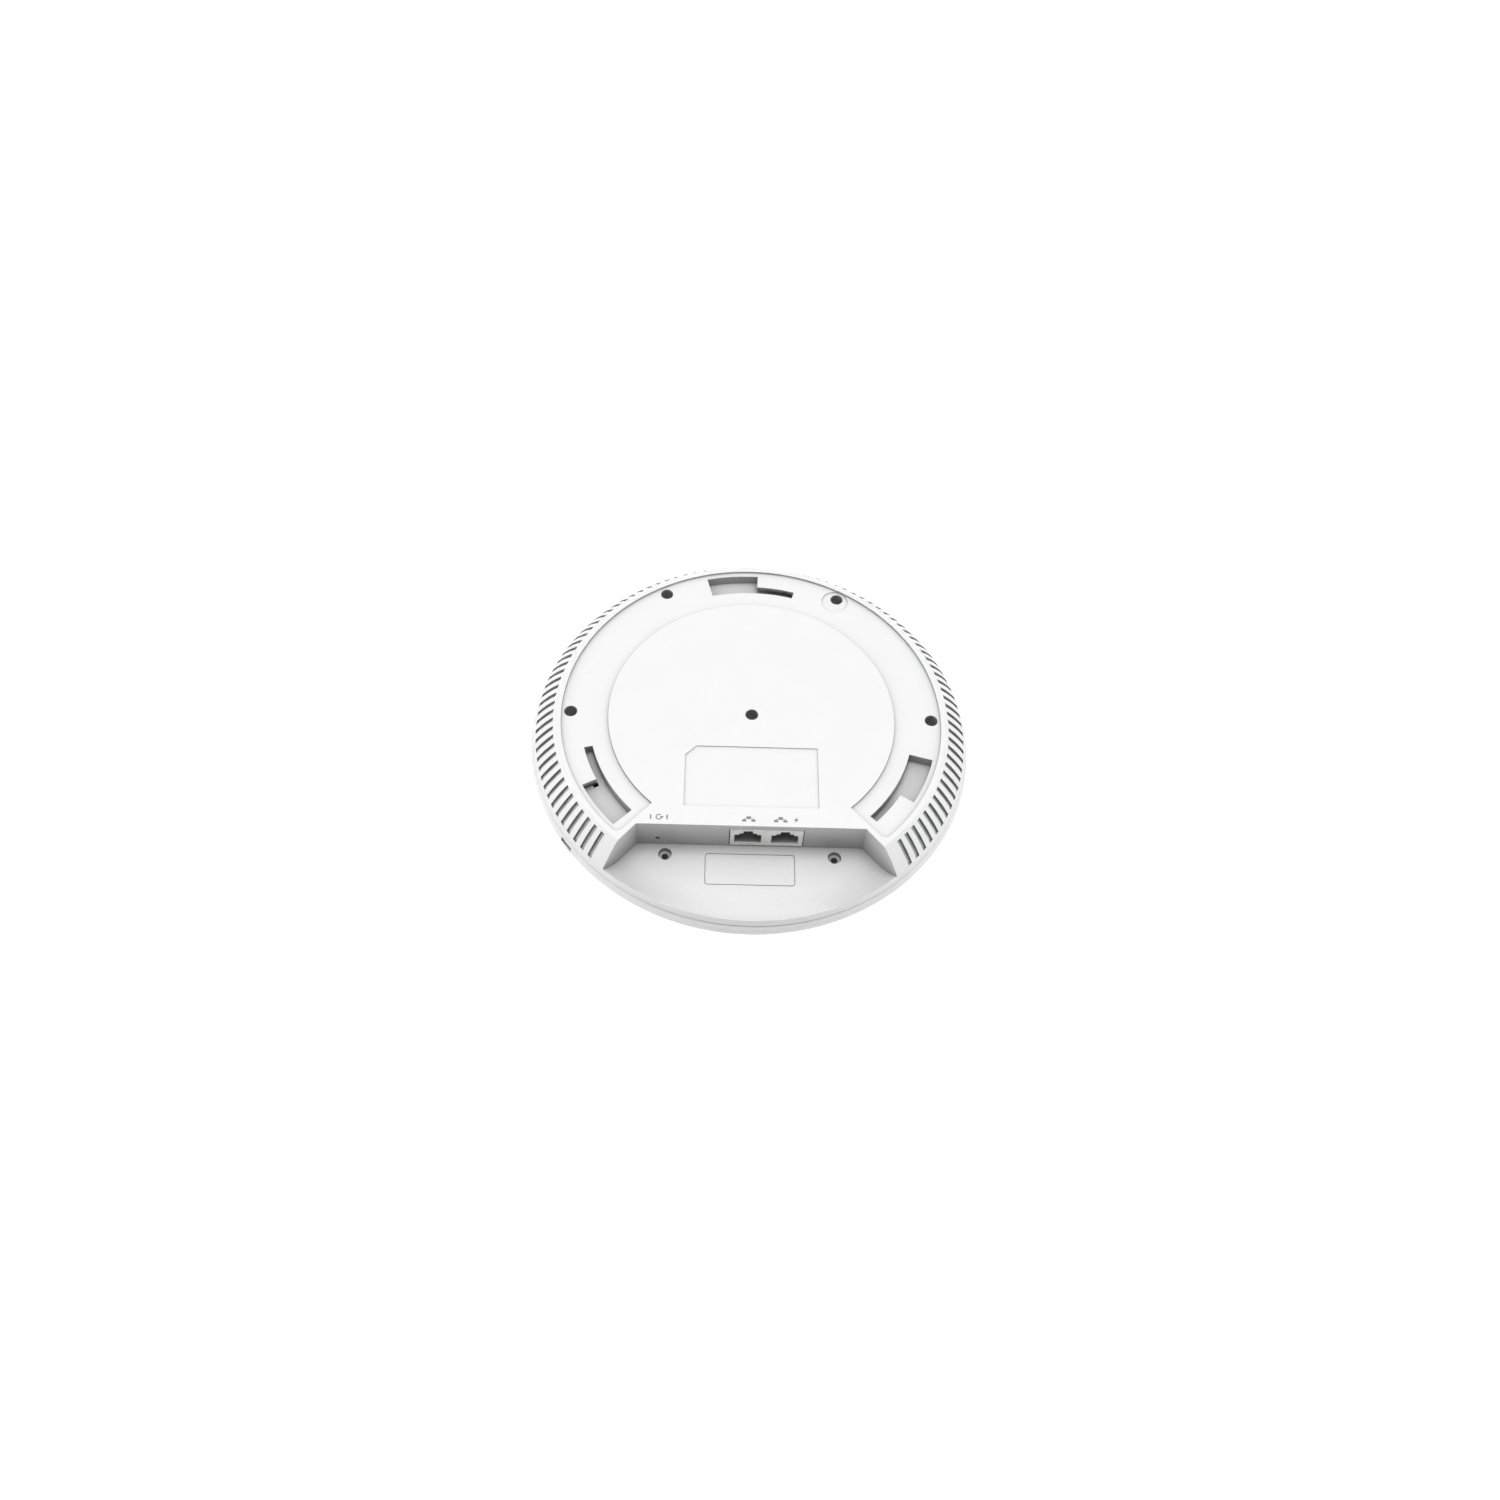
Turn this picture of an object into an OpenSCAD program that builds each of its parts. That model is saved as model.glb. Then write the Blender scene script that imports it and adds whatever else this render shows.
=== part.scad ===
// Round ceiling access point: two clamped plastic shells around a board with two network ports.
// Frame: Z = 0 is the rear face that lies against the ceiling and +Z points out of it, so the
// body hangs below Z = 0. The axis of the round body is Z, and the cable bay opens towards -Y.
// All sizes are millimetres and degrees.

/* [Body] */
// Largest radius of the body
body_r = 102.5; // [102.5:0.5:106]
// Height from the rear face to the front face
body_h = 42; // [40:1:50]
// Radius of the flat rear face
rear_r = 89.9; // [89.5:0.1:90.2]
// Radius of the rim edge where the slatted skirt ends
rim_r = 100.2; // [100:0.1:100.4]
// Depth of the rim edge below the rear face
rim_depth = 11.9; // [11.5:0.1:12.2]
// Depth of the seam between the two shells
seam_depth = 15.5; // [15.3:0.1:15.8]
// Gap between the two shells at the seam
seam_gap = 0.2; // [0.1:0.05:0.3]
// Depth of the widest point of the front shell
belly_depth = 18.5; // [18:0.5:20]
// Wall of both shells
wall = 2.4; // [2.2:0.1:2.6]
// Radius of the flat middle of the front face
front_flat_r = 34; // [33:1:40]

/* [Rear face] */
// Depth of the shallow ring channel
channel_depth = 1.0; // [0.6:0.1:1.2]
// Inner radius of the ring channel
channel_in_r = 66; // [64:0.5:70]
// Outer radius of the ring channel
channel_out_r = 87.6; // [87.4:0.1:88]
// Angle from -Y to each end of the ring channel
channel_end = 41.8; // [41.5:0.1:44]
// Radius of the circle of the outer shell screws
screw_r = 83.3; // [82.5:0.1:84]
// Diameter of the deep screw holes
screw_hole_d = 6.0; // [5.8:0.1:6.2]
// Diameter of the round seal recess
seal_d = 12.9; // [12:0.1:13]
// Width of the label recess
label_w = 60; // [40:1:60]
// Height of the label recess
label_h = 32; // [20:1:32]

/* [Key slots] */
// Inner radius of the key slots
key_in_r = 74.5; // [74:0.1:75]
// Outer radius of the wide end of the key slots
key_out_r = 85.3; // [84:0.1:85.5]
// Outer radius of the narrow end of the key slots
key_neck_r = 78.4; // [78:0.1:79]
// Depth of the key slot floor
key_depth = 5.9; // [5.5:0.1:6]
// Thickness of the lip over the undercut
key_lip = 2.0; // [1.6:0.1:2.2]

/* [Cable bay] */
// Distance of the port wall from the axis
bay_wall_y = 60.1; // [59.8:0.1:60.2]
// Angle from -Y to each side wall
bay_half = 40; // [39:0.5:40]
// Depth of the bay floor
bay_depth = 16.8; // [16.6:0.1:17]
// Radius at which the bay floor starts to rise
bay_flat_r = 87; // [86:0.5:88]
// Radius of the bay screw holes
bay_hole_r = 75.5; // [75:0.5:77]

/* [Vents] */
// Angle between two vent grooves
vent_pitch = 3; // [3:1.5:6]
// Width of a vent groove
vent_w = 2.2; // [1.6:0.1:2.4]
// Depth of a vent groove
vent_depth = 1.0; // [0.8:0.1:1.4]

/* [Ports] */
// Width of the shielded port block
port_w = 32.3; // [32:0.1:32.4]
// Height of the port block
port_h = 12.9; // [12.7:0.1:13]
// Length of the port block
port_l = 16.2; // [15:0.1:17]
// Middle of the port block along X
port_x = 7; // [0:0.5:8]
// Distance between the two ports
port_pitch = 16.4; // [16.2:0.1:16.4]

/* [Reset] */
// Position of the pinhole along X
reset_x = -41.2; // [-42:0.1:-41]
// Depth of the pinhole below the rear face
reset_depth = 12.1; // [11.9:0.1:12.3]
// Travel of the reset plunger
reset_travel = 0.25; // [0.2:0.05:0.3]

/* [Electronics] */
// Radius of the main board
board_r = 74; // [72:0.5:75]
// Thickness of the main board
board_t = 1.6; // [1.2:0.1:1.6]
// Height of the shield cans
shield_h = 3.0; // [2.8:0.1:3.2]
// Thickness of the heat spreader
spreader_t = 1.5; // [1:0.1:1.6]

/* [Antennas] */
// Distance of the antenna plates from the axis
antenna_q = 56; // [55:0.5:57]
// Height of the antenna plates above the heat spreader
antenna_h = 9.9; // [8:0.1:11]

/* [Hidden] */
$fn = 96;
far = 200;
eps = 0.05;

// heights of the layers, all measured up from the rear face
rear_t = 2.6;
board_top = -(3.1 + port_h);
board_low = board_top - board_t;
shield_low = board_low - shield_h;
pad_t = 1.0;
spreader_r = 70;
spreader_y = 54;
spreader_top = shield_low - pad_t;
spreader_low = spreader_top - spreader_t;
floor_z = -bay_depth;
floor_t = 2.0;
rear_low = -seam_depth + seam_gap / 2;
cover_top = -seam_depth - seam_gap / 2;
lip_top = cover_top + 1.8;
boss_low = -14;
post_top = boss_low - 0.1;
recess_depth = 1.2;
recess_r = 32.2;
front_z = -body_h;
cover_in_z = front_z + wall;

// outline angles
bay_axis = -90;
channel_a0 = bay_axis + channel_end;
channel_a1 = bay_axis + 360 - channel_end;
vent_a0 = bay_axis + 45;
vent_count = floor(270 / vent_pitch) + 1;
screw_angles = [0, 60, 120, 180];
key_starts = [74.8, 194.8, 314.8];
key_neck_sweep = 13.3;
key_sweep = 30.2;
lock_angle = -143.2;
board_screw_at = [[62, 0], [-62, 0], [0, 62], [30, -48], [-30, -48]];
antenna_angles = [30, 150, 210, 330];
light_angles = [0, 90, 180, 270];
antenna_foot_hole = [antenna_q - 4, -4.5];
light_r = 30.6;
light_leg_r = 1.35;
cable_side = 3;
cable_r = 0.65;
cable_z = spreader_low - 0.8;
plug_q = 27.6;
plug_z = board_low - 1.3;
plug_r = 1.3;
socket_t = 0.5;

plastic = "whitesmoke";
steel = "silver";
tin = "gainsboro";

// ---------------------------------------------------------------- shared shapes

// n steps from p to q that bulge sideways by s at the middle
function bend(p, q, s, n) =
  let (d = q - p, side = [-d[1], d[0]] / norm(d))
  [for (i = [0:n]) let (t = i / n) p + t * d + 4 * s * t * (1 - t) * side];

// quarter ellipse from [c[0], c[1] - h] out to [c[0] + w, c[1]]
function bowl(c, w, h, n) =
  [for (i = [0:n]) let (a = 90 * i / n) [c[0] + w * sin(a), c[1] - h * cos(a)]];

// pie slice between two angles
function slice(a0, a1) =
  let (n = ceil((a1 - a0) / 45))
  concat([[0, 0]], [for (i = [0:n]) let (a = a0 + (a1 - a0) * i / n) far * [cos(a), sin(a)]]);

// plan of the cable bay, grown outwards by t
function bay_plan(t) =
  let (u = [sin(bay_half), cos(bay_half)], s = (t * u[0] + bay_wall_y - t) / u[1])
  let (x = s * u[0] + t * u[1], y = bay_wall_y - t, k = far)
  [[-x, -y], [-x - k * u[0], -y - k * u[1]], [x + k * u[0], -y - k * u[1]], [x, -y]];

module ring_part(r0, r1, a0, a1) {
  intersection() {
    difference() {
      circle(r1);
      circle(r0);
    }
    polygon(slice(a0, a1));
  }
}

module slab(size, at) {
  translate([at[0] - size[0] / 2, at[1] - size[1] / 2, at[2]]) cube(size);
}

module rod(r, z0, z1, at = [0, 0]) {
  translate([at[0], at[1], z0]) cylinder(r = r, h = z1 - z0);
}

module at_angle(a, r = 0) {
  rotate([0, 0, a]) translate([r, 0, 0]) children();
}

// pan head screw that points up, seated at z
module screw(head_r, head_h, shank_r, shank_l, z) {
  difference() {
    rod(head_r, z - head_h, z);
    translate([0, 0, z - head_h - eps]) cross_recess(head_r * 0.55, head_h * 0.6);
  }
  rod(shank_r, z - eps, z + shank_l);
}

module cross_recess(r, depth) {
  for (a = [0, 90]) rotate([0, 0, a]) translate([-r, -r / 6, 0]) cube([2 * r, r / 3, depth]);
}

// ---------------------------------------------------------------- rear housing

skirt_out = bend([rear_r + 0.25, -0.25], [rim_r - 0.2, -rim_depth + 0.25], 0.6, 8);
skirt_in = bend([rear_r - 0.9, -rear_t], [rim_r - 1.8, -rim_depth - 1.6], 0.6, 8);
floor_run = rim_r - 0.3 - bay_flat_r;
floor_rise = bay_depth - rim_depth - 0.15;
floor_arc_r = (floor_run * floor_run + floor_rise * floor_rise) / (2 * floor_rise);
floor_arc_end = asin(floor_run / floor_arc_r);
floor_arc = [for (i = [1:8]) let (a = floor_arc_end * i / 8)
  [bay_flat_r + floor_arc_r * sin(a), floor_z + floor_arc_r * (1 - cos(a))]];
rim_foot = body_r - 1.55;
rim_in = rim_r - 1.3;

module rear_envelope() {
  rotate_extrude() polygon(concat(
    [[0, 0], [rear_r - 0.35, 0], [rear_r, -0.08]], skirt_out,
    [[rim_r, -rim_depth], [rim_r + 0.18, -rim_depth - 0.4],
     [rim_foot + 0.2, rear_low + 0.25], [rim_foot, rear_low], [rim_in, rear_low],
     [bay_flat_r, floor_z - floor_t], [0, floor_z - floor_t]]));
}

module rear_hollow() {
  rotate_extrude() polygon(concat(
    [[0, -far], [0, -rear_t]], skirt_in, [[rim_in, rear_low], [rim_in, -far]]));
}

module bay_air() {
  intersection() {
    rotate_extrude() polygon(concat(
      [[10, floor_z], [bay_flat_r, floor_z]], floor_arc,
      [[rim_r - 0.12, -rim_depth - 0.02], [far, -rim_depth - 0.02], [far, 10], [10, 10]]));
    translate([0, 0, floor_z - 1]) linear_extrude(bay_depth + 5) polygon(bay_plan(0));
  }
}

module screw_boss() {
  rod(4.6, boss_low, 0);
}

module screw_well() {
  rod(screw_hole_d / 2, boss_low + 2.5, 1);
  rod(1.7, boss_low - 1, boss_low + 3);
}

// void of one key slot: open wide end, open narrow end, and the undercut beneath the lip
module key_void() {
  translate([0, 0, -key_depth]) {
    linear_extrude(key_depth + 1) {
      ring_part(key_in_r, key_out_r, key_neck_sweep, key_sweep);
      ring_part(key_in_r, key_neck_r, 0, key_neck_sweep + 1);
    }
    linear_extrude(key_depth - channel_depth - key_lip)
      ring_part(key_in_r + 1, key_out_r, 0, key_neck_sweep + 1);
    linear_extrude(key_depth - channel_depth - key_lip + 0.6)
      ring_part(key_in_r + 1, key_out_r - 1, 2.6, 3.8);
  }
}

module channel_plan() {
  corner = 3;
  turn = asin(corner / (channel_out_r - corner));
  ring_part(channel_in_r, channel_out_r - corner, channel_a0, channel_a1);
  ring_part(channel_out_r - corner - 1, channel_out_r, channel_a0 + turn, channel_a1 - turn);
  for (a = [channel_a0 + turn, channel_a1 - turn])
    rotate([0, 0, a]) translate([channel_out_r - corner, 0]) circle(corner);
}

module label_plan() {
  cut = 5;
  x = label_w / 2;
  polygon([[-x, 0], [-x, label_h - cut], [-x + cut, label_h], [x, label_h], [x, 0]]);
}

// rounded rectangle made of true circles
module pill_plan(w, h, r) {
  square([w - 2 * r, h], center = true);
  square([w, h - 2 * r], center = true);
  for (x = [-1, 1], y = [-1, 1]) translate([x * (w / 2 - r), y * (h / 2 - r)]) circle(r);
}

module vent_cuts() {
  p = [91.3, -1.2];
  q = [100.0, -11.4];
  run = norm(q - p);
  slope = atan2(p[1] - q[1], q[0] - p[0]);
  for (i = [0:vent_count - 1])
    rotate([0, 0, vent_a0 + i * vent_pitch])
      translate([p[0], 0, p[1]]) rotate([0, slope, 0])
        translate([0, -vent_w / 2, -vent_depth]) cube([run, vent_w, vent_depth + 2]);
}

module bay_boss() {
  rod(4.5, floor_z - 10.2, floor_z - 0.5);
}

module bay_hole_places() {
  for (a = [-120, -60]) at_angle(a, bay_hole_r) children();
}

module port_profile(grow = 0) {
  low = -14.3 - grow;
  translate([-5.95 - grow, low]) square([11.9 + 2 * grow, 7 + 2 * grow]);
  translate([-3.9 - grow, low]) square([7.8 + 2 * grow, 8.2 + 2 * grow]);
  translate([-2.1 - grow, low]) square([4.2 + 2 * grow, 10 + 2 * grow]);
}

module rear_housing() color(plastic) difference() {
  union() {
    rear_envelope();
    bay_hole_places() bay_boss();
  }
  difference() {
    rear_hollow();
    bay_hole_places() bay_boss();
    translate([0, 0, -30]) linear_extrude(40) polygon(bay_plan(2.2));
    rod(4.6, boss_low, 0);
    for (a = screw_angles) at_angle(a, screw_r) screw_boss();
    for (a = key_starts) rotate([0, 0, a]) translate([0, 0, -key_depth - 1.6])
      linear_extrude(far) ring_part(key_in_r - 1.6, key_out_r + 1.6, -1.4, key_sweep + 1.4);
    for (p = board_screw_at) rod(3.25, board_top, 0, p);
  }
  bay_air();
  translate([0, 0, -channel_depth]) linear_extrude(5) channel_plan();
  for (a = key_starts) rotate([0, 0, a]) key_void();
  at_angle(key_starts[1] + key_neck_sweep - 0.2, key_neck_r + 0.5)
    translate([-1.2, -1.1, -key_depth - 3]) cube([2.4, 2.2, 4]);
  screw_well();
  for (a = screw_angles) at_angle(a, screw_r) screw_well();
  at_angle(screw_angles[1], screw_r - 2.1) rod(seal_d / 2, -channel_depth - 0.4, 1);
  translate([0, -50.1, -0.4]) linear_extrude(2) label_plan();
  vent_cuts();
  bay_hole_places() {
    rod(screw_hole_d / 2, floor_z - 2.4, floor_z + 5);
    rod(1.55, floor_z - 9.2, floor_z);
  }
  translate([0, -72.4, floor_z - 0.3]) linear_extrude(2) difference() {
    pill_plan(40, 15.8, 1.5);
    pill_plan(39.3, 15.1, 1.15);
  }
  translate([port_x - port_w / 2 - 0.4, -bay_wall_y - 1, board_top - 0.3])
    cube([port_w + 0.8, 5, port_h + 0.6]);
  translate([reset_x, -bay_wall_y + 4, -reset_depth]) rotate([90, 0, 0]) cylinder(d = 2, h = 6);
  for (p = board_screw_at) rod(1.3, board_top - 1, board_top + 8, p);
}

// ---------------------------------------------------------------- front cover

module cover_envelope() {
  rotate_extrude() polygon(concat(
    [[0, front_z]],
    bowl([front_flat_r, -belly_depth], body_r - front_flat_r, body_h - belly_depth, 28),
    bend([body_r - 0.03, -belly_depth + 0.6], [rim_foot + 0.35, cover_top - 0.3], -0.22, 5),
    [[rim_foot + 0.05, cover_top], [rim_in - 0.7, cover_top], [rim_in - 0.9, lip_top],
     [0, lip_top]]));
}

module cover_hollow() {
  in_r = rim_in - 2.3;
  rotate_extrude() polygon(concat(
    [[0, cover_in_z]],
    bowl([front_flat_r, -belly_depth], body_r - front_flat_r - wall, -belly_depth - cover_in_z, 28),
    [[rim_in - 0.3, cover_top - 1.7], [in_r, cover_top - 0.9], [in_r, 0], [0, 0]]));
}

module front_cover() color(plastic) difference() {
  cover_envelope();
  difference() {
    cover_hollow();
    rod(4, -far, post_top);
    for (a = screw_angles) at_angle(a, screw_r) rod(4, -far, post_top);
  }
  for (a = screw_angles) at_angle(a, screw_r) rod(1.5, post_top - 14, 0);
  rod(1.5, post_top - 14, 0);
  translate([0, 0, -belly_depth + 0.9]) linear_extrude(10) intersection() {
    circle(rim_in + 0.2);
    polygon(slice(bay_axis - bay_half - 5, bay_axis + bay_half + 5));
  }
  rod(recess_r, front_z - 1, front_z + recess_depth);
  for (a = light_angles) at_angle(a, light_r) rod(light_leg_r + 0.2, front_z - 1, cover_in_z + 1);
  at_angle(lock_angle, body_r - 5) translate([0, -3.8, -19.8]) cube([10, 7.6, 3.2]);
}

module light_pipe() color("azure", 0.8) {
  difference() {
    rod(recess_r - 0.2, front_z + 0.1, front_z + recess_depth - 0.05);
    rod(29.3, front_z - 1, front_z + 3);
  }
  for (a = light_angles) at_angle(a, light_r)
    rod(light_leg_r, front_z + 0.5, board_low - 1.6);
}

module centre_disc() color(plastic) {
  rod(28.6, front_z, front_z + 0.5);
  rod(29.1, front_z + 0.4, front_z + recess_depth - 0.05);
}

// ---------------------------------------------------------------- board and cooling

module main_board() color("darkgreen") translate([0, 0, board_low])
  linear_extrude(board_t) difference() {
    intersection() {
      circle(board_r);
      translate([-board_r, -bay_wall_y + 2.7]) square([2 * board_r, 2 * board_r]);
    }
    circle(4.5);
    for (p = board_screw_at) translate(p) circle(1.6);
    for (a = [60, 120]) rotate([0, 0, a]) translate([board_r, 0]) circle(3);
  }

module heat_spreader() color(steel) difference() {
  union() {
    translate([0, 0, spreader_low]) linear_extrude(spreader_t) spreader_plan(0);
    translate([0, 0, spreader_low]) linear_extrude(4) difference() {
      spreader_plan(0);
      spreader_plan(1.2);
    }
    for (p = board_screw_at) rod(3.5, spreader_low, board_low, p);
  }
  rod(5, -far, 0);
  for (p = board_screw_at) rod(1.6, -far, 0, p);
  for (a = light_angles) at_angle(a, light_r) rod(3, -far, 0);
  for (i = [0:3]) antenna_frame(i) {
    rod(3.6, -far, 0, [33.6, cable_side]);
    rod(1, -far, 0, antenna_foot_hole);
  }
}

// round plate with a straight side towards the cable bay, drawn in by t
module spreader_plan(t) {
  r = spreader_r - t;
  intersection() {
    circle(r);
    translate([-r, t - spreader_y]) square([2 * r, 2 * r]);
  }
}

module thermal_pads() color("lightblue") {
  slab([26, 16, pad_t], [0, 46, spreader_top]);
  for (x = [-46, 46]) slab([14, 20, pad_t], [x, 0, spreader_top]);
}

module shield_can(w, d, at) color(tin) difference() {
  slab([w, d, shield_h], [at[0], at[1], shield_low]);
  slab([w - 0.6, d - 0.6, shield_h], [at[0], at[1], shield_low + 0.3]);
}

module processor_shield() shield_can(34, 22, [0, 46]);

module radio_shield_left() shield_can(20, 26, [-46, 0]);

module radio_shield_right() shield_can(20, 26, [46, 0]);

// flat chip on the front side of the board
module low_chip(w, d, t, at) slab([w, d, t], [at[0], at[1], board_low - t]);

module processor_chip() color("dimgray") low_chip(17, 17, 1.5, [0, 46]);

module memory_chips() color("dimgray") for (x = [-12.6, 12.6]) low_chip(7.5, 13, 1.1, [x, 46]);

module radio_chips() color("dimgray") for (x = [-46, 46], y = [-6.5, 6.5])
  low_chip(9, 9, 0.9, [x, y]);

module small_components() color("tan") {
  for (i = [0:9]) slab([1.6, 0.8, 0.7], [-24 + 5 * i, 24, board_top]);
  for (i = [0:7]) slab([0.9, 1.8, 0.8], [-58, -14 + 4 * i, board_top]);
  slab([5, 3.2, 1.2], [-20, 36, board_top]);
  slab([6, 5, 1.6], [-30, 10, board_top]);
  slab([10, 10, 1.4], [-14, 8, board_top]);
}

// ---------------------------------------------------------------- ports and power

port_low = board_top;
port_front = -bay_wall_y - 0.15;
insert_w = 14.7;
port_xs = [port_x - 0.05 - port_pitch / 2, port_x - 0.05 + port_pitch / 2];

module port_shell() color(tin) difference() {
  translate([port_x - port_w / 2, port_front, port_low]) cube([port_w, port_l, port_h]);
  translate([port_x - port_w / 2 + 0.5, port_front + 0.8, port_low + 0.5])
    cube([port_w - 1, port_l - 1.3, port_h - 1]);
  for (x = port_xs) translate([x, port_front + 2, 0]) rotate([90, 0, 0])
    linear_extrude(5) port_profile();
}

module port_inserts() color("dimgray") for (x = port_xs) difference() {
  translate([x - insert_w / 2, port_front + 0.9, port_low + 0.6])
    cube([insert_w, port_l - 1.5, port_h - 1.2]);
  translate([x, port_front + port_l - 2.2, 0]) rotate([90, 0, 0])
    linear_extrude(port_l) port_profile(0.1);
}

// eight sprung wires in the floor of each port
module port_contacts() color("gold") for (x = port_xs, i = [0:7])
  translate([x + (i - 3.5) * 1.02 - 0.175, 0, 0]) rotate([90, 0, 90]) linear_extrude(0.35)
    polygon([[port_front + 5.8, -14.3], [port_front + 6.2, -14.3], [port_front + 12.4, -12.55],
      [port_front + 13.9, -12.55], [port_front + 13.9, -12.2], [port_front + 12.3, -12.2]]);

module network_transformers() color("black") for (x = port_xs)
  slab([14.6, 9, 5.6], [x, -35, board_top]);

module power_transformer() color("khaki") {
  slab([15, 14, 1.6], [47, -30, board_top]);
  slab([13, 11, 9.4], [47, -30, board_top + 1.5]);
}

module power_inductors() color("dimgray") for (y = [-14, -2]) difference() {
  slab([10, 10, 4.6], [44, y, board_top]);
  rod(3.6, board_top + 4.1, 0, [44, y]);
}

module capacitors() color("steelblue") for (p = [[60, -28], [60, -18], [38, 10]]) {
  slab([8.2, 8.2, 0.8], [p[0], p[1], board_top]);
  rod(3.9, board_top + 0.7, board_top + 9, p);
}

module power_chips() color("black") {
  slab([6, 5, 1.5], [30, -24, board_top]);
  slab([4, 5, 1.3], [30, -12, board_top]);
  slab([8, 6, 2.4], [30, -34, board_top]);
}

// ---------------------------------------------------------------- reset switch

switch_face = -54;
flange_y = switch_face + 1.4;
flange_t = 0.8;
dome_y = flange_y + flange_t + reset_travel + 0.07;
dome_t = 0.18;

module along_y(r, y0, y1) {
  translate([reset_x, y1, -reset_depth]) rotate([90, 0, 0]) cylinder(r = r, h = y1 - y0);
}

module reset_switch() color("dimgray") difference() {
  translate([reset_x - 3.3, switch_face, board_top]) cube([6.6, 5, 7.4]);
  along_y(1.55, switch_face - 1, flange_y);
  along_y(2.3, flange_y - 0.1, dome_y + dome_t);
}

module reset_dome() color(steel) along_y(2.25, dome_y, dome_y + dome_t);

module reset_plunger() color("black") {
  along_y(1.5, switch_face - 2.6, flange_y + 0.3);
  along_y(2.1, flange_y, flange_y + flange_t);
}

// ---------------------------------------------------------------- lights and antennas

module status_leds() color("white") for (a = light_angles)
  at_angle(a, light_r) slab([3, 3, 1.2], [0, 0, board_low - 1.2]);

module antenna_frame(i) {
  rotate([0, 0, antenna_angles[i]]) children();
}

// folded sheet metal antenna: foot on the spreader, upright leg, arm and feed leg
module antenna(i, arm) color("goldenrod") antenna_frame(i) {
  t = 0.5;
  tip = spreader_low - antenna_h;
  difference() {
    translate([antenna_q - 7.5, -8, spreader_low - t]) cube([7.5 + t, 7, t]);
    rod(1, -far, 0, antenna_foot_hole);
  }
  translate([antenna_q, 0, 0]) rotate([90, 0, 90]) linear_extrude(t) polygon([
    [-8, spreader_low], [-1, spreader_low], [-1, tip + 3.6], [2, tip + 3.6],
    [2, spreader_low - 1.4], [4, spreader_low - 1.4], [4, tip + 3.6], [arm, tip + 3.6],
    [arm, tip], [-8, tip]]);
}

module antenna_1() antenna(0, 16);

module antenna_2() antenna(1, 9);

module antenna_3() antenna(2, 16);

module antenna_4() antenna(3, 9);

// [distance from the axis, height] of the lead from an antenna feed to its board socket
lead_path = concat(
  bend([antenna_q - 0.2, cable_z - 1.6], [antenna_q - 5.5, cable_z], -0.4, 4),
  [[antenna_q - 8, cable_z], [46, cable_z], [42, cable_z], [39, cable_z]],
  bend([36.6, cable_z + 0.1], [31.2, plug_z], 0.9, 6),
  [[plug_q + 2.5, plug_z]]);

module antenna_cable(i) color("black") antenna_frame(i) {
  sides = 8;
  n = len(lead_path);
  ring = [for (k = [0:n - 1])
    let (a = lead_path[max(k - 1, 0)], b = lead_path[min(k + 1, n - 1)], d = (b - a) / norm(b - a))
    for (j = [0:sides - 1])
      let (c = cable_r * cos(360 * j / sides), s = cable_r * sin(360 * j / sides))
      [lead_path[k][0] - d[1] * c, cable_side + s, lead_path[k][1] + d[0] * c]];
  skin = [for (k = [0:n - 2], j = [0:sides - 1])
    let (m = (j + 1) % sides)
    [k * sides + j, (k + 1) * sides + j, (k + 1) * sides + m, k * sides + m]];
  cap_a = [for (j = [0:sides - 1]) j];
  cap_b = [for (j = [sides - 1:-1:0]) (n - 1) * sides + j];
  polyhedron(points = ring, faces = concat(skin, [cap_a, cap_b]));
}

module antenna_cable_1() antenna_cable(0);

module antenna_cable_2() antenna_cable(1);

module antenna_cable_3() antenna_cable(2);

module antenna_cable_4() antenna_cable(3);

module cable_sockets() color("gold") for (i = [0:3]) antenna_frame(i)
  rod(plug_r - 0.1, board_low - socket_t, board_low, [plug_q, cable_side]);

module cable_plugs() color(steel) for (i = [0:3]) antenna_frame(i) {
  rod(plug_r, plug_z - 0.8, board_low - socket_t, [plug_q, cable_side]);
  translate([plug_q, cable_side, plug_z]) rotate([0, 90, 0])
    cylinder(r = cable_r + 0.1, h = 2.45);
}

module cable_clips() color("white") for (i = [0:3]) antenna_frame(i) difference() {
  slab([3, 4.2, 2.2], [43, cable_side, spreader_low - 2.2]);
  translate([40, cable_side, cable_z]) rotate([0, 90, 0]) cylinder(r = 0.75, h = 6);
  slab([6, 1.5, 1], [43, cable_side, cable_z]);
}

// ---------------------------------------------------------------- fasteners

// shell screws point down from the rear, so the upward screw shape is turned over
module rear_screw() {
  translate([0, 0, boss_low + 2.5]) rotate([180, 0, 0]) screw(2.7, 2.1, 1.45, 15, 0);
}

module rear_screws() color(steel) {
  rear_screw();
  for (a = screw_angles) at_angle(a, screw_r) rear_screw();
}

module board_screws() color(steel) for (p = board_screw_at)
  translate([p[0], p[1], 0]) screw(2.5, 1.9, 1.25, 12.4, spreader_low);

module antenna_screws() color(steel) for (i = [0:3]) antenna_frame(i)
  translate(antenna_foot_hole) screw(1.8, 1.3, 0.95, 2.6, spreader_low - 0.5);

rear_housing();
front_cover();
light_pipe();
centre_disc();
main_board();
heat_spreader();
thermal_pads();
processor_shield();
radio_shield_left();
radio_shield_right();
processor_chip();
memory_chips();
radio_chips();
small_components();
port_shell();
port_inserts();
port_contacts();
network_transformers();
power_transformer();
power_inductors();
capacitors();
power_chips();
reset_switch();
reset_dome();
reset_plunger();
status_leds();
antenna_1();
antenna_2();
antenna_3();
antenna_4();
antenna_cable_1();
antenna_cable_2();
antenna_cable_3();
antenna_cable_4();
cable_sockets();
cable_plugs();
cable_clips();
rear_screws();
board_screws();
antenna_screws();
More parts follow.
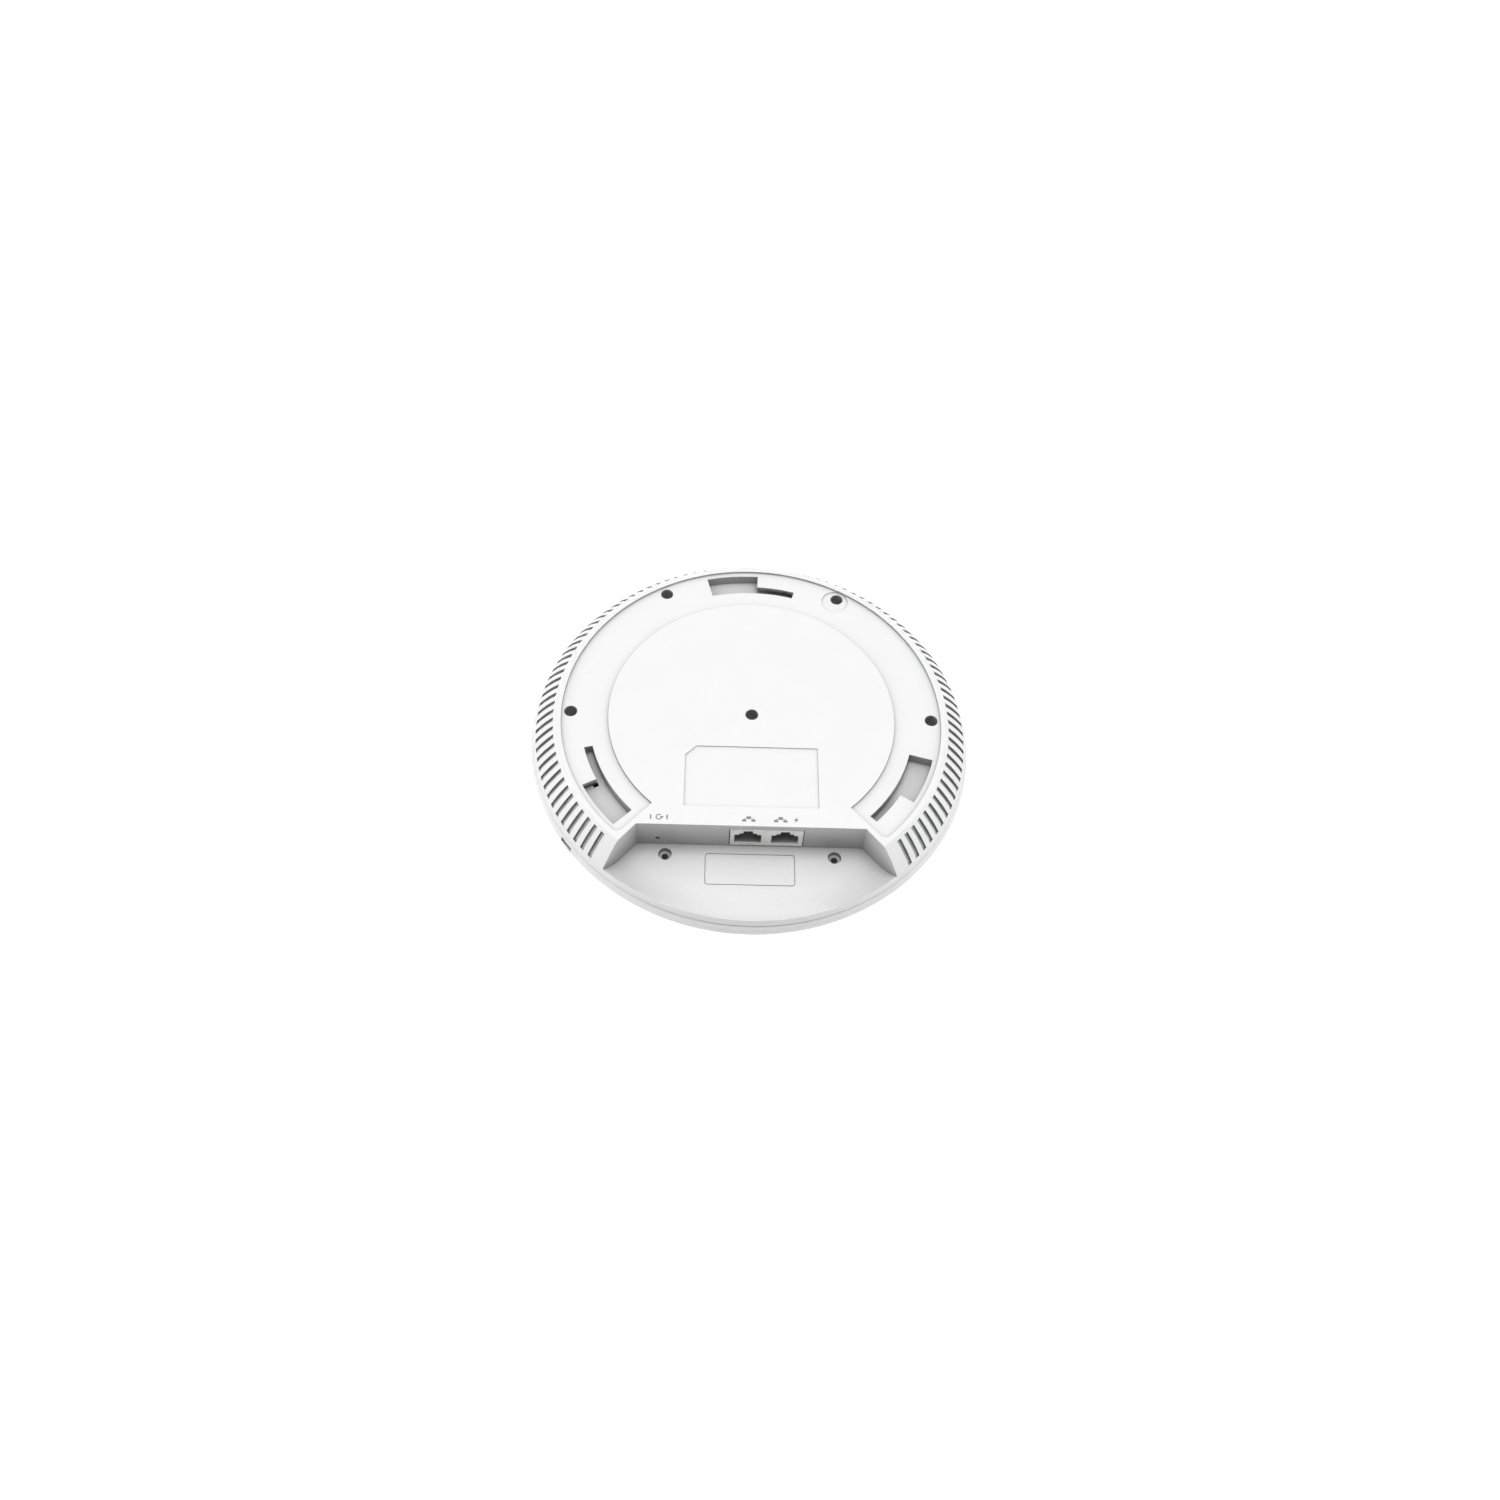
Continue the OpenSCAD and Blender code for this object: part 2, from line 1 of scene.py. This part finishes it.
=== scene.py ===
"""Looks for a round ceiling access point that lies on its front face, rear face up."""
import math

import bpy
from mathutils import Matrix, Vector


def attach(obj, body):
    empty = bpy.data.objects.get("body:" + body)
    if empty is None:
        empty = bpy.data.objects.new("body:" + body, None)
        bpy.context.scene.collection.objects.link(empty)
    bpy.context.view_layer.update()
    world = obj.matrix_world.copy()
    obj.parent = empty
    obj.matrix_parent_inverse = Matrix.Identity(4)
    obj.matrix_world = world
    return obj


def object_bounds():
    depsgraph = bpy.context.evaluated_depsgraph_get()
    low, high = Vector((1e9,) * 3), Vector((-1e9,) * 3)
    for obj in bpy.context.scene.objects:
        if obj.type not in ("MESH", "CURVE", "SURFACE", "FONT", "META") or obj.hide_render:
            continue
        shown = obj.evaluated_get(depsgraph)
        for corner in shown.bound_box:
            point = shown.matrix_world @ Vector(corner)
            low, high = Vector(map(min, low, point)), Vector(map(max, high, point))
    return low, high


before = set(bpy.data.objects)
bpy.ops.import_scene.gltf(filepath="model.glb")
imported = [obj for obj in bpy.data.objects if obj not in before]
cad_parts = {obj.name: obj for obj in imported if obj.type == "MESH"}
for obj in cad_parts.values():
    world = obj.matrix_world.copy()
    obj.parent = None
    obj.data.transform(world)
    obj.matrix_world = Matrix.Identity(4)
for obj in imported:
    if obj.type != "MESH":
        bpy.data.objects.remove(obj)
CAD_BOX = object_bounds()
MM = 0.001

# ------------------------------------------------------------------ camera, floor and light

# the view from in front of the cable bay, looking down at the rear face
CAMERA_PLACE = Vector((-0.02249, -0.37754, 0.52069))
CAMERA_ELEVATION = math.radians(55.46)
CAMERA_YAW = math.radians(3.47)
CAMERA_ROLL = math.radians(-4.38)
CAMERA_LENS = 33.475
SENSOR = 36.0

LIGHT_DISTANCE = 1.3
LIGHT_SIZE = 1.0
# (azimuth from +X, elevation, watts)
LIGHTS = [(90, 88, 13.8), (-90, 68, 2.8), (90, 18, 5.2), (0, 20, 6.2), (180, 20, 7.4)]
SKY = 0.01
FLOOR_GLOW = 1.05
FLOOR_TONE = 0.2
FLOOR_HALF = 4
FLOOR_GAP = 0.2 * MM
DOME_RADIUS = 3.9
DOME_GLOW = 0.8


def make_camera():
    """The rows of the turn are right, up and forward. Yaw turns about the vertical, roll about the view."""
    low, high = math.cos(CAMERA_ELEVATION), math.sin(CAMERA_ELEVATION)
    tilt = Matrix(((1, 0, 0), (0, high, low), (0, low, -high)))
    yaw = Matrix.Rotation(CAMERA_YAW, 3, "Z")
    roll = Matrix.Rotation(CAMERA_ROLL, 3, "Z")
    right, up, forward = roll @ tilt @ yaw
    turn = Matrix((right, up, -forward)).transposed()
    data = bpy.data.cameras.new("camera")
    data.lens = CAMERA_LENS
    data.sensor_width = SENSOR
    camera = bpy.data.objects.new("camera", data)
    camera.matrix_world = Matrix.Translation(CAMERA_PLACE) @ turn.to_4x4()
    bpy.context.scene.collection.objects.link(camera)
    bpy.context.scene.camera = camera


def softbox(azimuth, elevation, watts):
    """A round area light that faces the object from a compass direction."""
    data = bpy.data.lights.new(f"softbox_{azimuth}_{elevation}", "AREA")
    data.shape = "DISK"
    data.size = LIGHT_SIZE
    data.energy = watts
    light = bpy.data.objects.new(data.name, data)
    turn, lift = math.radians(azimuth), math.radians(elevation)
    way = Vector((math.cos(lift) * math.cos(turn), math.cos(lift) * math.sin(turn), math.sin(lift)))
    light.location = LIGHT_DISTANCE * way
    light.rotation_euler = way.to_track_quat("Z", "Y").to_euler()
    bpy.context.scene.collection.objects.link(light)


def make_stage():
    """A faint sky, the soft lights, the floor, and a dome that only the camera sees."""
    world = bpy.data.worlds.new("sky")
    bpy.context.scene.world = world
    world.use_nodes = True
    sky = world.node_tree.nodes["Background"]
    sky.inputs["Color"].default_value = (1, 1, 1, 1)
    sky.inputs["Strength"].default_value = SKY
    for azimuth, elevation, watts in LIGHTS:
        softbox(azimuth, elevation, watts)
    h, z = FLOOR_HALF, CAD_BOX[0][2] - FLOOR_GAP
    mesh = bpy.data.meshes.new("floor")
    mesh.from_pydata([(-h, -h, z), (h, -h, z), (h, h, z), (-h, h, z)], [], [(0, 1, 2, 3)])
    floor = bpy.data.objects.new("floor", mesh)
    bpy.context.scene.collection.objects.link(floor)
    mesh.materials.append(floor_paper().material)
    bpy.ops.mesh.primitive_uv_sphere_add(segments=64, ring_count=32, radius=DOME_RADIUS)
    dome = bpy.context.object
    dome.name = "backdrop"
    glow = Paint("backdrop")
    glow.put("Base Color", (0, 0, 0, 1))
    glow.put("Emission Color", (1, 1, 1, 1))
    glow.put("Emission Strength", DOME_GLOW)
    dome.data.materials.append(glow.material)
    dome.visible_diffuse = dome.visible_glossy = dome.visible_transmission = dome.visible_shadow = False


def floor_paper():
    """Glowing white paper that is clear from below, so that the underside can be looked at."""
    p = Paint("paper")
    p.put("Base Color", (*grey(FLOOR_TONE), 1))
    p.put("Roughness", 0.9)
    p.put("Emission Color", (1, 1, 1, 1))
    p.put("Emission Strength", FLOOR_GLOW)
    sides = p.add("ShaderNodeMixShader")
    p.join(sides.inputs[0], p.add("ShaderNodeNewGeometry").outputs["Backfacing"])
    p.join(sides.inputs[1], p.shader.outputs["BSDF"])
    p.join(sides.inputs[2], p.add("ShaderNodeBsdfTransparent").outputs["BSDF"])
    p.join(p.tree.nodes["Material Output"].inputs["Surface"], sides.outputs["Shader"])
    return p


# ------------------------------------------------------------------ material building blocks


class Paint:
    """One material's nodes. Each helper adds a node and returns its output."""

    def __init__(self, name):
        self.material = bpy.data.materials.new(name)
        self.material.use_nodes = True
        self.tree = self.material.node_tree
        self.shader = self.tree.nodes["Principled BSDF"]

    def put(self, socket, value):
        """Sets or links a socket of the main shader, by name."""
        self.join(self.shader.inputs[socket], value)

    def join(self, socket, value):
        """Links an output to the socket, or sets the socket to a constant."""
        if isinstance(value, bpy.types.NodeSocket):
            self.tree.links.new(value, socket)
        else:
            socket.default_value = value

    def add(self, kind, **settings):
        node = self.tree.nodes.new(kind)
        for key, value in settings.items():
            setattr(node, key, value)
        return node

    def place(self, stretch=(1, 1, 1)):
        """The point on the object in metres, squeezed along each axis by stretch."""
        point = self.add("ShaderNodeTexCoord").outputs["Object"]
        if tuple(stretch) == (1, 1, 1):
            return point
        move = self.add("ShaderNodeMapping")
        self.join(move.inputs["Vector"], point)
        move.inputs["Scale"].default_value = stretch
        return move.outputs["Vector"]

    def noise(self, size, detail=3.0, stretch=(1, 1, 1)):
        """Noise whose blobs are about size metres wide."""
        node = self.add("ShaderNodeTexNoise")
        self.join(node.inputs["Vector"], self.place(stretch))
        node.inputs["Scale"].default_value = 1 / size
        node.inputs["Detail"].default_value = detail
        return node.outputs["Fac"]

    def cells(self, size, output="Distance", **settings):
        """Random cells about size metres wide."""
        node = self.add("ShaderNodeTexVoronoi", **settings)
        self.join(node.inputs["Vector"], self.place())
        node.inputs["Scale"].default_value = 1 / size
        return node.outputs[output]

    def stripes(self, size, axis, waver=0.0):
        """Bands across an axis that repeat every size metres."""
        node = self.add("ShaderNodeTexWave", bands_direction=axis)
        self.join(node.inputs["Vector"], self.place())
        node.inputs["Scale"].default_value = math.pi / (10 * size)
        node.inputs["Distortion"].default_value = waver
        return node.outputs["Fac"]

    def remap(self, value, low, high, to_low, to_high):
        """Stretches low..high to to_low..to_high, held at both ends."""
        node = self.add("ShaderNodeMapRange")
        names = ("Value", "From Min", "From Max", "To Min", "To Max")
        for name, number in zip(names, (value, low, high, to_low, to_high)):
            self.join(node.inputs[name], number)
        return node.outputs["Result"]

    def maths(self, operation, a, b):
        node = self.add("ShaderNodeMath", operation=operation)
        self.join(node.inputs[0], a)
        self.join(node.inputs[1], b)
        return node.outputs[0]

    def blend(self, share, a, b, mode="MIX"):
        """Colour a where share is 0, and a mixed with b as it rises to 1."""
        node = self.add("ShaderNodeMix", data_type="RGBA", blend_type=mode)
        self.join(node.inputs["Factor"], share)
        self.join(node.inputs["A"], (*a, 1) if isinstance(a, tuple) else a)
        self.join(node.inputs["B"], (*b, 1) if isinstance(b, tuple) else b)
        return node.outputs["Result"]

    def crevice(self, reach):
        """1 on open surfaces, falling towards 0 in grooves and holes narrower than reach."""
        node = self.add("ShaderNodeAmbientOcclusion", samples=6)
        node.inputs["Distance"].default_value = reach
        return node.outputs["AO"]

    def soft_edges(self, radius):
        """A normal that rounds sharp edges."""
        node = self.add("ShaderNodeBevel", samples=4)
        node.inputs["Radius"].default_value = radius
        return node.outputs["Normal"]

    def edge_share(self, rounded):
        """0 on flat faces, rising on the corners that soft_edges rounds."""
        flat = self.add("ShaderNodeNewGeometry").outputs["Normal"]
        dot = self.add("ShaderNodeVectorMath", operation="DOT_PRODUCT")
        self.join(dot.inputs[0], rounded)
        self.join(dot.inputs[1], flat)
        return self.remap(dot.outputs["Value"], 1.0, 0.8, 0.0, 1.0)

    def bump(self, height, depth, normal=None):
        """Relief depth metres deep on the main shader, over a rounded normal where one is given."""
        node = self.add("ShaderNodeBump")
        self.join(node.inputs["Height"], height)
        node.inputs["Distance"].default_value = depth
        if normal is not None:
            self.join(node.inputs["Normal"], normal)
        self.put("Normal", node.outputs["Normal"])


def grey(level):
    return (level, level, level)


def scaled(colour, by):
    return tuple(min(1.0, c * by) for c in colour)


# ------------------------------------------------------------------ materials


# how far away a wall still casts painted shade on the plastic: along steps, in holes, and in the cable bay
OUTLINE_REACH = 1 * MM
HOLLOW_REACH = 8 * MM
BASIN_REACH = 34 * MM
OUTLINE_SHADE = 0.62
# the slatted skirt lies outside this radius and above this height
SKIRT_R = 90.5 * MM
SKIRT_LOW = -11.8 * MM
SKIRT_FADE = 0.3 * MM
SLAT_REACH = 3 * MM
SLAT_SHADE = 0.8
LINE_DEPTH = 0.004 * MM


def moulded(name, colour, rough=0.45, grain=0.35 * MM, depth=0.012 * MM, edge=0.25 * MM,
            shade=0.75, well=0.4):
    """Moulded plastic: fine even grain, faint flow clouds, edges made lighter in patches, and painted shade
    in grooves, holes and basins.

    shade is what the painted shade leaves of the colour in narrow holes, and well what it leaves in broad
    basins.
    """
    p = Paint(name)
    clouds = p.noise(22 * MM, 4)
    base = p.blend(p.remap(clouds, 0.35, 0.65, 0, 1), scaled(colour, 0.985), colour)
    specks = p.remap(p.noise(0.8 * MM, 2), 0.66, 0.78, 0, 0.35)
    base = p.blend(specks, base, scaled(colour, 0.93))
    rounded = p.soft_edges(edge)
    lighter_edge_patches = p.maths("MULTIPLY", p.edge_share(rounded), p.remap(p.noise(3 * MM), 0.4, 0.65, 0.2, 1))
    base = p.blend(p.maths("MULTIPLY", lighter_edge_patches, 0.5), base, scaled(colour, 1.06))
    # painted shade: the colour is darkened in holes, across broad basins such as the cable bay, and along
    # steps, where shade falls
    painted_hollow_shade = p.remap(p.crevice(HOLLOW_REACH), 0.12, 0.5, shade, 1)
    painted_basin_shade = p.remap(p.crevice(BASIN_REACH), 0.3, 1, well, 1)
    outline = p.remap(p.crevice(OUTLINE_REACH), 0.4, 0.75, OUTLINE_SHADE, 1)
    painted_shade = p.maths("MULTIPLY", p.maths("MULTIPLY", painted_hollow_shade, outline), painted_basin_shade)
    base = p.blend(1.0, base, painted_shade, "MULTIPLY")
    p.put("Base Color", base)
    wipe = p.noise(9 * MM, 5, (1, 4, 1))
    p.put("Roughness", p.remap(wipe, 0.3, 0.7, rough - 0.05, rough + 0.06))
    grains = p.maths("ADD", p.noise(grain, 2), p.maths("MULTIPLY", p.noise(grain * 3.5, 2), 0.6))
    p.bump(grains, depth, rounded)
    return p


def metal(name, colour, rough=0.3, brush=(1, 12, 12), line=0.25 * MM, edge=0.12 * MM, tarnish=0.8):
    """Plated or brushed sheet: fine lines along one axis, cloudy tarnish and edges made lighter as a painted
    highlight.

    brush squeezes the lines across each axis, and tarnish is what is left of the colour in the clouds.
    """
    p = Paint(name)
    p.put("Metallic", 1.0)
    lines = p.noise(line * 10, 3, brush)
    clouds = p.noise(4 * MM, 4)
    base = p.blend(p.remap(clouds, 0.4, 0.7, 0, 1), colour, scaled(colour, tarnish))
    base = p.blend(p.remap(lines, 0.35, 0.7, 0, 0.5), base, scaled(colour, 0.86))
    rounded = p.soft_edges(edge)
    # painted highlight: the edges that soft_edges rounds are made lighter in colour
    base = p.blend(p.maths("MULTIPLY", p.edge_share(rounded), 0.6), base, scaled(colour, 1.15))
    p.put("Base Color", base)
    p.put("Roughness", p.remap(p.maths("ADD", lines, clouds), 0.7, 1.3, rough * 0.8, rough * 1.35))
    p.bump(lines, LINE_DEPTH, rounded)
    return p


def rear_shell():
    """The rear shell's plastic, with painted shade in the grooves of the slatted skirt, outside the flat
    face.
    """
    p = moulded("shell_rear", grey(0.80), rough=0.46)
    flat = p.add("ShaderNodeVectorMath", operation="MULTIPLY")
    p.join(flat.inputs[0], p.place())
    flat.inputs[1].default_value = (1, 1, 0)
    out = p.add("ShaderNodeVectorMath", operation="LENGTH")
    p.join(out.inputs[0], flat.outputs["Vector"])
    height = p.add("ShaderNodeSeparateXYZ")
    p.join(height.inputs["Vector"], p.place())
    outside = p.remap(out.outputs["Value"], SKIRT_R, SKIRT_R + SKIRT_FADE, 0, 1)
    above = p.remap(height.outputs["Z"], SKIRT_LOW - SKIRT_FADE, SKIRT_LOW, 0, 1)
    # painted shade: the slat grooves of the skirt are darkened towards SLAT_SHADE, where shade falls
    painted_slat_shade = p.remap(p.crevice(SLAT_REACH), 0.95, 0.75, 0, 1)
    painted_slat_shade = p.maths("MULTIPLY", p.maths("MULTIPLY", outside, above), painted_slat_shade)
    base = p.shader.inputs["Base Color"].links[0].from_socket
    p.put("Base Color", p.blend(painted_slat_shade, base, p.blend(1.0, base, grey(SLAT_SHADE), "MULTIPLY")))
    return p


def port_plate():
    """Bright plated sheet whose rolled edges catch the light and are made lighter as a painted highlight."""
    p = metal("port_plate", (0.95, 0.95, 0.94), rough=0.5, brush=(1, 10, 10), edge=0.3 * MM, tarnish=0.93)
    p.put("Metallic", 0.55)
    return p


def front_shell():
    return moulded("shell_front", grey(0.78), rough=0.40, grain=0.25 * MM, depth=0.007 * MM, well=0.7)


def disc_shell():
    return moulded("shell_disc", grey(0.79), rough=0.36, grain=0.2 * MM, depth=0.005 * MM)


def light_ring():
    """Frosted clear plastic that spreads the lamps' light."""
    p = moulded("light_ring", (0.82, 0.87, 0.9), rough=0.3, depth=0.006 * MM, shade=0.8)
    p.put("Transmission Weight", 0.45)
    p.put("IOR", 1.49)
    p.put("Subsurface Weight", 0.2)
    p.put("Subsurface Scale", 2 * MM)
    return p


def circuit_board():
    """Solder mask over straight tracks, with plated vias."""
    p = Paint("board")
    mask, track = (0.012, 0.105, 0.045), (0.022, 0.19, 0.075)
    along = p.remap(p.stripes(1.1 * MM, "X"), 0.55, 0.7, 0, 1)
    across = p.remap(p.stripes(1.1 * MM, "Y"), 0.55, 0.7, 0, 1)
    patch = p.remap(p.cells(11 * MM, output="Color", distance="MANHATTAN"), 0.49, 0.51, 0, 1)
    tracks = p.maths("ADD", p.maths("MULTIPLY", along, patch),
                     p.maths("MULTIPLY", across, p.maths("SUBTRACT", 1.0, patch)))
    tracks = p.maths("MULTIPLY", tracks, p.remap(p.noise(8 * MM, 1), 0.46, 0.5, 0, 1))
    base = p.blend(tracks, mask, track)
    vias = p.remap(p.cells(4.2 * MM), 0.1, 0.07, 0, 1)
    base = p.blend(vias, base, (0.55, 0.5, 0.36))
    base = p.blend(p.remap(p.noise(14 * MM), 0.4, 0.6, 0, 0.4), base, scaled(mask, 0.8))
    p.put("Base Color", base)
    p.put("Metallic", p.maths("MULTIPLY", vias, 0.8))
    p.put("Roughness", p.remap(p.noise(2 * MM), 0.3, 0.7, 0.28, 0.42))
    p.bump(p.maths("ADD", tracks, vias), 0.03 * MM, p.soft_edges(0.1 * MM))
    return p


def soft_pad():
    p = moulded("pad", (0.36, 0.5, 0.58), rough=0.85, grain=0.6 * MM, depth=0.05 * MM, shade=0.7)
    p.put("Sheen Weight", 0.3)
    return p


def chip_resin():
    """Moulded black resin with a fine, fairly deep grain."""
    return moulded("chip", (0.03, 0.03, 0.033), rough=0.55, grain=0.12 * MM, depth=0.02 * MM, edge=0.1 * MM)


def passives():
    """Tan and dark ceramic bodies between tinned ends."""
    p = Paint("passives")
    bodies = p.cells(3.2 * MM, output="Color")
    base = p.blend(p.remap(bodies, 0.45, 0.55, 0, 1), (0.42, 0.3, 0.19), (0.035, 0.035, 0.04))
    base = p.blend(p.remap(p.noise(0.25 * MM), 0.5, 0.7, 0, 0.4), base, (0.62, 0.55, 0.45))
    p.put("Base Color", base)
    p.put("Roughness", p.remap(p.noise(0.5 * MM), 0.3, 0.7, 0.35, 0.6))
    p.bump(p.noise(0.15 * MM), 0.01 * MM, p.soft_edges(0.1 * MM))
    return p


def winding_tape():
    """Yellow tape wound round a ferrite core: lap lines and a slight sheen."""
    p = Paint("tape")
    laps = p.stripes(2.4 * MM, "Z", 0.4)
    base = p.blend(p.remap(laps, 0.0, 0.12, 0, 1), (0.36, 0.27, 0.06), (0.66, 0.52, 0.14))
    base = p.blend(p.remap(p.noise(5 * MM), 0.35, 0.65, 0, 0.4), base, (0.6, 0.44, 0.1))
    p.put("Base Color", base)
    p.put("Roughness", p.remap(p.noise(1.5 * MM), 0.3, 0.7, 0.25, 0.4))
    p.bump(laps, 0.08 * MM, p.soft_edges(0.3 * MM))
    return p


def capacitor_can():
    """Drawn aluminium can, with upright draw lines."""
    return metal("capacitor", (0.72, 0.74, 0.78), rough=0.28, brush=(6, 6, 1))


def rubber_lead():
    """Extruded black jacket with a fine grain and dull scuffs."""
    return moulded("lead", (0.025, 0.025, 0.027), rough=0.5, grain=0.2 * MM, depth=0.01 * MM,
                   edge=0.05 * MM, shade=0.7)


def lamp_lens():
    """Cloudy yellowish resin over an indicator lamp."""
    p = moulded("lens", (0.86, 0.8, 0.55), rough=0.25, depth=0.004 * MM, shade=0.8)
    p.put("Subsurface Weight", 0.3)
    p.put("Subsurface Scale", 1 * MM)
    return p


def screw_steel():
    """Pale zinc plating, with short lines and a painted highlight on the recess edges."""
    return metal("screw", (0.82, 0.83, 0.85), rough=0.5, brush=(3, 3, 8), line=0.1 * MM, edge=0.15 * MM)


def printed_ink():
    """Thin grey ink, uneven in tone."""
    p = Paint("ink")
    base = p.blend(p.remap(p.noise(0.3 * MM), 0.35, 0.7, 0, 1), grey(0.16), grey(0.24))
    p.put("Base Color", base)
    p.put("Roughness", p.remap(p.noise(0.6 * MM), 0.3, 0.7, 0.5, 0.65))
    p.bump(p.noise(0.12 * MM), 0.003 * MM)
    return p


def dress_nodes():
    """Gives every CAD node its material."""
    resin = chip_resin()
    tin = metal("tin_plate", (0.78, 0.78, 0.76), rough=0.32, brush=(1, 1, 1), line=0.4 * MM)
    spring = metal("spring", (0.7, 0.7, 0.72), rough=0.22)
    gold = metal("gold_plate", (0.86, 0.62, 0.26), rough=0.2, line=0.08 * MM, edge=0.05 * MM, tarnish=0.88)
    black = moulded("switch_body", grey(0.03), rough=0.42, edge=0.12 * MM)
    wound = moulded("ferrite", grey(0.035), rough=0.5, grain=0.3 * MM, depth=0.03 * MM)
    nylon = moulded("nylon", (0.74, 0.74, 0.7), rough=0.5, edge=0.12 * MM, shade=0.7)
    stamped = metal("stamped_sheet", (0.72, 0.6, 0.36), rough=0.3, brush=(8, 8, 1), tarnish=0.75)
    shield = metal("shield_can", (0.74, 0.74, 0.73), rough=0.35)
    lead, steel = rubber_lead(), screw_steel()
    by_node = {
        "rear_housing": rear_shell(), "front_cover": front_shell(), "centre_disc": disc_shell(),
        "light_pipe": light_ring(), "main_board": circuit_board(),
        "heat_spreader": metal("spreader", (0.76, 0.77, 0.78), rough=0.38, brush=(1, 14, 14), line=0.4 * MM),
        "thermal_pads": soft_pad(), "processor_shield": shield, "radio_shield_left": shield,
        "radio_shield_right": shield, "processor_chip": resin, "memory_chips": resin,
        "radio_chips": resin, "power_chips": resin, "small_components": passives(),
        "port_shell": port_plate(),
        "port_inserts": moulded("port_plastic", grey(0.8), rough=0.5, edge=0.15 * MM, shade=1),
        "port_contacts": gold, "cable_sockets": gold, "network_transformers": wound,
        "power_inductors": wound, "power_transformer": winding_tape(), "capacitors": capacitor_can(),
        "reset_switch": black, "reset_plunger": black, "reset_dome": spring, "cable_plugs": tin,
        "status_leds": lamp_lens(), "cable_clips": nylon, "rear_screws": steel,
        "board_screws": steel, "antenna_screws": steel,
    }
    for number in range(1, 5):
        by_node[f"antenna_{number}"] = stamped
        by_node[f"antenna_cable_{number}"] = lead
    for name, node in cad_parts.items():
        node.data.materials.clear()
        node.data.materials.append(by_node[name].material)


# ------------------------------------------------------------------ printed marks

INK_LIFT = 0.015 * MM
# millimetres from here on: the row that the marks stand in, and where each one stands along it
MARK_Y = -56.45
RESET_X = -40.6
PORT_1_X = -1.25
PORT_2_X = 12.8
BOLT_X = 19.6


def band(x, y, r0, r1, start, end, steps=28):
    """The outer and the inner edge of a ring sector, point for point."""
    angles = [math.radians(start + (end - start) * i / steps) for i in range(steps + 1)]
    outer = [(x + r1 * math.cos(a), y + r1 * math.sin(a)) for a in angles]
    inner = [(x + r0 * math.cos(a), y + r0 * math.sin(a)) for a in angles]
    return outer, inner


def block(x0, y0, x1, y1):
    """A rectangle's outline."""
    return [(x0, y0), (x1, y0), (x1, y1), (x0, y1)]


def print_mark(name, ink, outlines, rings=()):
    """Thin ink on the flat rear face: filled outlines and ring sectors, in millimetres."""
    verts, faces = [], []
    for outline in outlines:
        faces.append(tuple(range(len(verts), len(verts) + len(outline))))
        verts += outline
    for outer, inner in rings:
        base, n = len(verts), len(outer)
        verts += outer + inner
        faces += [(base + i, base + i + 1, base + n + i + 1, base + n + i) for i in range(n - 1)]
    mesh = bpy.data.meshes.new(name)
    mesh.from_pydata([(x * MM, y * MM, INK_LIFT) for x, y in verts], [], faces)
    mesh.update()
    for face in mesh.polygons:
        if face.normal.z < 0:
            face.flip()
    mark = bpy.data.objects.new(name, mesh)
    bpy.context.scene.collection.objects.link(mark)
    mesh.materials.append(ink.material)
    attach(mark, "housing")


def network_mark(name, ink, x, y, extra=()):
    """One block joined to two below it, 6 mm wide."""
    t = 0.24
    outlines = [block(x - 1.0, y + 0.3, x + 1.0, y + 1.3), block(x - t, y, x + t, y + 0.3),
                block(x - 2.3, y - 0.16, x + 2.3, y + 0.16)]
    for side in (-2.06, 2.06):
        outlines += [block(x + side - t, y - 0.4, x + side + t, y - 0.16),
                     block(x + side - 0.95, y - 1.35, x + side + 0.95, y - 0.4)]
    print_mark(name, ink, outlines + list(extra))


def make_marks():
    """A turned arrow over the pinhole, a network sign over each port, and a bolt for the powered one."""
    ink = printed_ink()
    x, y = RESET_X, MARK_Y
    head = [(x + 2.2, y + 0.35), (x + 0.5, y + 0.35), (x + 1.35, y - 0.75)]
    press = [block(x - 3.9, y - 1.2, x - 3.3, y + 1.2), block(x + 3.3, y - 1.2, x + 3.9, y + 1.2)]
    print_mark("mark_reset", ink, [head, *press], [band(x, y, 0.95, 1.45, 50, 350)])
    network_mark("mark_port_1", ink, PORT_1_X, y)
    x = BOLT_X
    bolt = [(x + 0.7, y + 1.4), (x - 1.1, y - 0.2), (x - 0.1, y - 0.2), (x - 0.6, y - 1.4),
            (x + 1.2, y + 0.25), (x + 0.2, y + 0.25)]
    network_mark("mark_port_2", ink, PORT_2_X, y, [bolt])


make_camera()
make_stage()
dress_nodes()
make_marks()
bpy.context.scene.view_settings.view_transform = "Standard"
